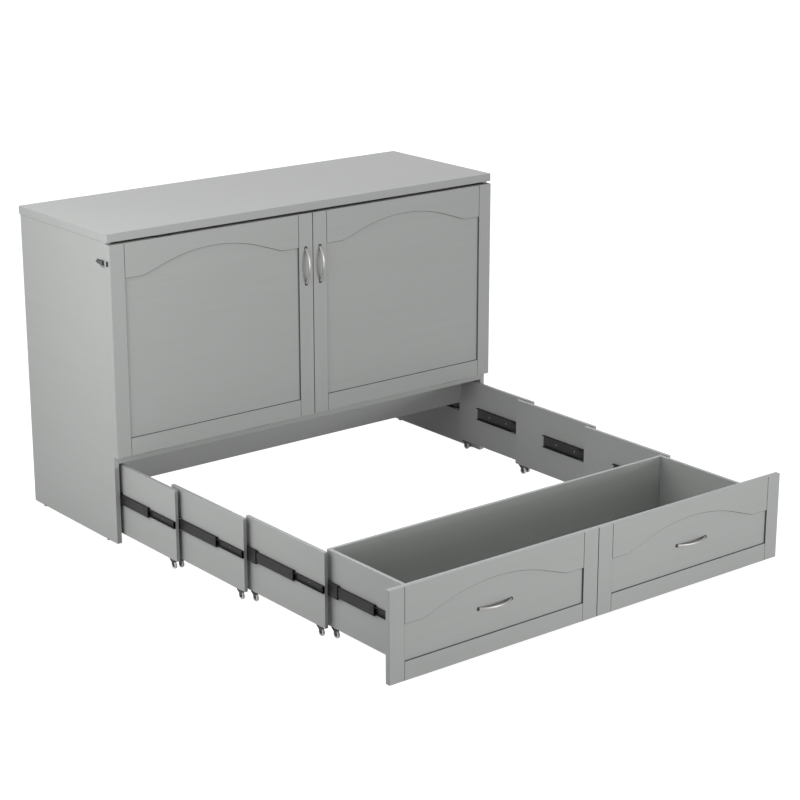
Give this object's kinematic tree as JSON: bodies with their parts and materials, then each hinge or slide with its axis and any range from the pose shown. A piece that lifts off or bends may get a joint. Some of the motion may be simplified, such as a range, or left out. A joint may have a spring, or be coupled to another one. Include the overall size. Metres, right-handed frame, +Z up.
{
  "type": "cabinet bed",
  "caption": "Cabinet bed with an arch-framed fold-down front, a telescoping base on ball-bearing slides and casters, and a full-width foot drawer.",
  "frame": {"origin": "middle of the floor rectangle under the whole bed with its base pulled out", "axes": "+Z up, +X to the right of someone who stands at the foot and faces the bed, +Y from the foot drawer towards the cabinet's back"},
  "size_m": [1.652, 2.0608, 1.0769],
  "materials": {
    "board": "satin",
    "slide_steel": "satin",
    "handle_nickel": "satin",
    "hardware_steel": "satin",
    "fork_metal": "satin",
    "wheel": "satin",
    "glide": "matte"
  },
  "bodies": {
    "cabinet": {"left_side_panel": "board", "right_side_panel": "board", "top_panel": "board", "fixed_deck": "board", "back_panel": "board", "rear_stretcher": "board", "floor_glides": "glide", "latch_bases": "hardware_steel", "front_hinge_deck_leaves": "hardware_steel", "slide_1_outer_members": "slide_steel"},
    "front": {"front_core": "board", "front_stiles": "board", "front_arched_rails": "board", "front_bottom_rails": "board", "front_handles": "handle_nickel", "front_hinge_moving_leaves": "hardware_steel", "folding_deck_leaf": "board", "leaf_hinges": "hardware_steel", "latch_keepers": "hardware_steel"},
    "left_lever": {"left_latch_lever": "hardware_steel"},
    "left_bail": {"left_latch_bail": "hardware_steel"},
    "right_lever": {"right_latch_lever": "hardware_steel"},
    "right_bail": {"right_latch_bail": "hardware_steel"},
    "section_1": {"left_section_1_panel": "board", "right_section_1_panel": "board", "section_1_cross_rail": "board", "slide_1_inner_members": "slide_steel", "slide_2_outer_members": "slide_steel", "section_1_caster_forks": "fork_metal"},
    "section_2": {"left_section_2_panel": "board", "right_section_2_panel": "board", "slide_2_inner_members": "slide_steel", "slide_3_outer_members": "slide_steel", "section_2_caster_forks": "fork_metal"},
    "section_3": {"left_section_3_panel": "board", "right_section_3_panel": "board", "slide_3_inner_members": "slide_steel", "slide_4_outer_members": "slide_steel", "section_3_caster_forks": "fork_metal"},
    "drawer": {"drawer_sides": "board", "drawer_back": "board", "drawer_bottom": "board", "drawer_front_core": "board", "drawer_front_frame": "board", "drawer_arched_rails": "board", "drawer_handles": "handle_nickel", "slide_4_inner_members": "slide_steel", "drawer_caster_forks": "fork_metal"},
    "slide_1_middle": {"slide_1_middle_members": "slide_steel"},
    "slide_2_middle": {"slide_2_middle_members": "slide_steel"},
    "slide_3_middle": {"slide_3_middle_members": "slide_steel"},
    "slide_4_middle": {"slide_4_middle_members": "slide_steel"},
    "section_1_front_wheels_body": {"section_1_front_wheels": "wheel"},
    "section_1_rear_wheels_body": {"section_1_rear_wheels": "wheel"},
    "section_2_front_wheels_body": {"section_2_front_wheels": "wheel"},
    "section_2_rear_wheels_body": {"section_2_rear_wheels": "wheel"},
    "section_3_front_wheels_body": {"section_3_front_wheels": "wheel"},
    "section_3_rear_wheels_body": {"section_3_rear_wheels": "wheel"},
    "drawer_front_wheels_body": {"drawer_front_wheels": "wheel"},
    "drawer_rear_wheels_body": {"drawer_rear_wheels": "wheel"}
  },
  "joints": [
    {"name": "front_hinge", "type": "hinge", "parent": "cabinet", "child": "front", "pos_m": [0, 0.47415, 0.3098], "axis": [1, 0, 0], "range_deg": [0, 90]},
    {"name": "section_1_slide", "type": "slide", "parent": "cabinet", "child": "section_1", "axis": [0, -1, 0], "range_m": [-0.388, 0]},
    {"name": "section_2_slide", "type": "slide", "parent": "section_1", "child": "section_2", "axis": [0, -1, 0], "range_m": [-0.335, 0]},
    {"name": "section_3_slide", "type": "slide", "parent": "section_2", "child": "section_3", "axis": [0, -1, 0], "range_m": [-0.391, 0]},
    {"name": "drawer_slide", "type": "slide", "parent": "section_3", "child": "drawer", "axis": [0, -1, 0], "range_m": [-0.35, 0]},
    {"name": "slide_1_middle_slide", "type": "slide", "parent": "cabinet", "child": "slide_1_middle", "axis": [0, -1, 0], "range_m": [-0.194, 0]},
    {"name": "slide_2_middle_slide", "type": "slide", "parent": "section_1", "child": "slide_2_middle", "axis": [0, -1, 0], "range_m": [-0.1675, 0]},
    {"name": "slide_3_middle_slide", "type": "slide", "parent": "section_2", "child": "slide_3_middle", "axis": [0, -1, 0], "range_m": [-0.1955, 0]},
    {"name": "slide_4_middle_slide", "type": "slide", "parent": "section_3", "child": "slide_4_middle", "axis": [0, -1, 0], "range_m": [-0.175, 0]},
    {"name": "left_lever_hinge", "type": "hinge", "parent": "cabinet", "child": "left_lever", "pos_m": [-0.8175, 0.48795, 0.977], "axis": [0, 0, 1], "range_deg": [0, 110]},
    {"name": "left_bail_hinge", "type": "hinge", "parent": "left_lever", "child": "left_bail", "pos_m": [-0.819, 0.49595, 0.977], "axis": [0, 0, 1], "range_deg": [-110, 0]},
    {"name": "right_lever_hinge", "type": "hinge", "parent": "cabinet", "child": "right_lever", "pos_m": [0.8175, 0.48795, 0.977], "axis": [0, 0, -1], "range_deg": [0, 110]},
    {"name": "right_bail_hinge", "type": "hinge", "parent": "right_lever", "child": "right_bail", "pos_m": [0.819, 0.49595, 0.977], "axis": [0, 0, -1], "range_deg": [-110, 0]},
    {"name": "section_1_front_wheels_spin", "type": "hinge", "parent": "section_1", "child": "section_1_front_wheels_body", "pos_m": [0, 0.17545, 0.0125], "axis": [1, 0, 0], "continuous": true},
    {"name": "section_1_rear_wheels_spin", "type": "hinge", "parent": "section_1", "child": "section_1_rear_wheels_body", "pos_m": [0, 0.52445, 0.0125], "axis": [1, 0, 0], "continuous": true},
    {"name": "section_2_front_wheels_spin", "type": "hinge", "parent": "section_2", "child": "section_2_front_wheels_body", "pos_m": [0, -0.17855, 0.0125], "axis": [1, 0, 0], "continuous": true},
    {"name": "section_2_rear_wheels_spin", "type": "hinge", "parent": "section_2", "child": "section_2_rear_wheels_body", "pos_m": [0, 0.17045, 0.0125], "axis": [1, 0, 0], "continuous": true},
    {"name": "section_3_front_wheels_spin", "type": "hinge", "parent": "section_3", "child": "section_3_front_wheels_body", "pos_m": [0, -0.56955, 0.0125], "axis": [1, 0, 0], "continuous": true},
    {"name": "section_3_rear_wheels_spin", "type": "hinge", "parent": "section_3", "child": "section_3_rear_wheels_body", "pos_m": [0, -0.22055, 0.0125], "axis": [1, 0, 0], "continuous": true},
    {"name": "drawer_front_wheels_spin", "type": "hinge", "parent": "drawer", "child": "drawer_front_wheels_body", "pos_m": [0, -0.96805, 0.0125], "axis": [1, 0, 0], "continuous": true},
    {"name": "drawer_rear_wheels_spin", "type": "hinge", "parent": "drawer", "child": "drawer_rear_wheels_body", "pos_m": [0, -0.61205, 0.0125], "axis": [1, 0, 0], "continuous": true}
  ],
  "couplings": [
    {"joint": "slide_1_middle_slide", "follows": "section_1_slide", "ratio": 0.5},
    {"joint": "slide_2_middle_slide", "follows": "section_2_slide", "ratio": 0.5},
    {"joint": "slide_3_middle_slide", "follows": "section_3_slide", "ratio": 0.5},
    {"joint": "slide_4_middle_slide", "follows": "drawer_slide", "ratio": 0.5},
    {"joint": "left_bail_hinge", "follows": "left_lever_hinge", "ratio": -1},
    {"joint": "right_bail_hinge", "follows": "right_lever_hinge", "ratio": -1}
  ]
}
